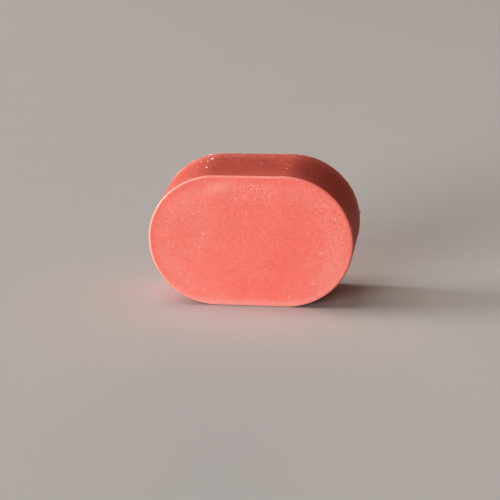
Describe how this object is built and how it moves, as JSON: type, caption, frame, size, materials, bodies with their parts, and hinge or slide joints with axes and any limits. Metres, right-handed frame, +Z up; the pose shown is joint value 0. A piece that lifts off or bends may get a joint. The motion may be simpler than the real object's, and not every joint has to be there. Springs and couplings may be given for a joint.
{
  "type": "bar of soap",
  "caption": "Poured bar of soap with a rounded-end oblong outline, drafted wall, rounded front edge and thin pour rim, standing on one long side.",
  "frame": {"origin": "middle of the bar's length and depth, on the surface that it stands on", "axes": "+X along the length, -Y towards the viewer of the front face, which leans forward by the wall's draft because the wall lies flat, +Z up across the width"},
  "size_m": [0.082, 0.0328, 0.055],
  "materials": {
    "soap": "satin waxy coral-red soap with fine specks and a pale dusting of ash on the pour rim"
  },
  "bodies": {
    "root": {"soap_bar": "soap"}
  },
  "joints": []
}
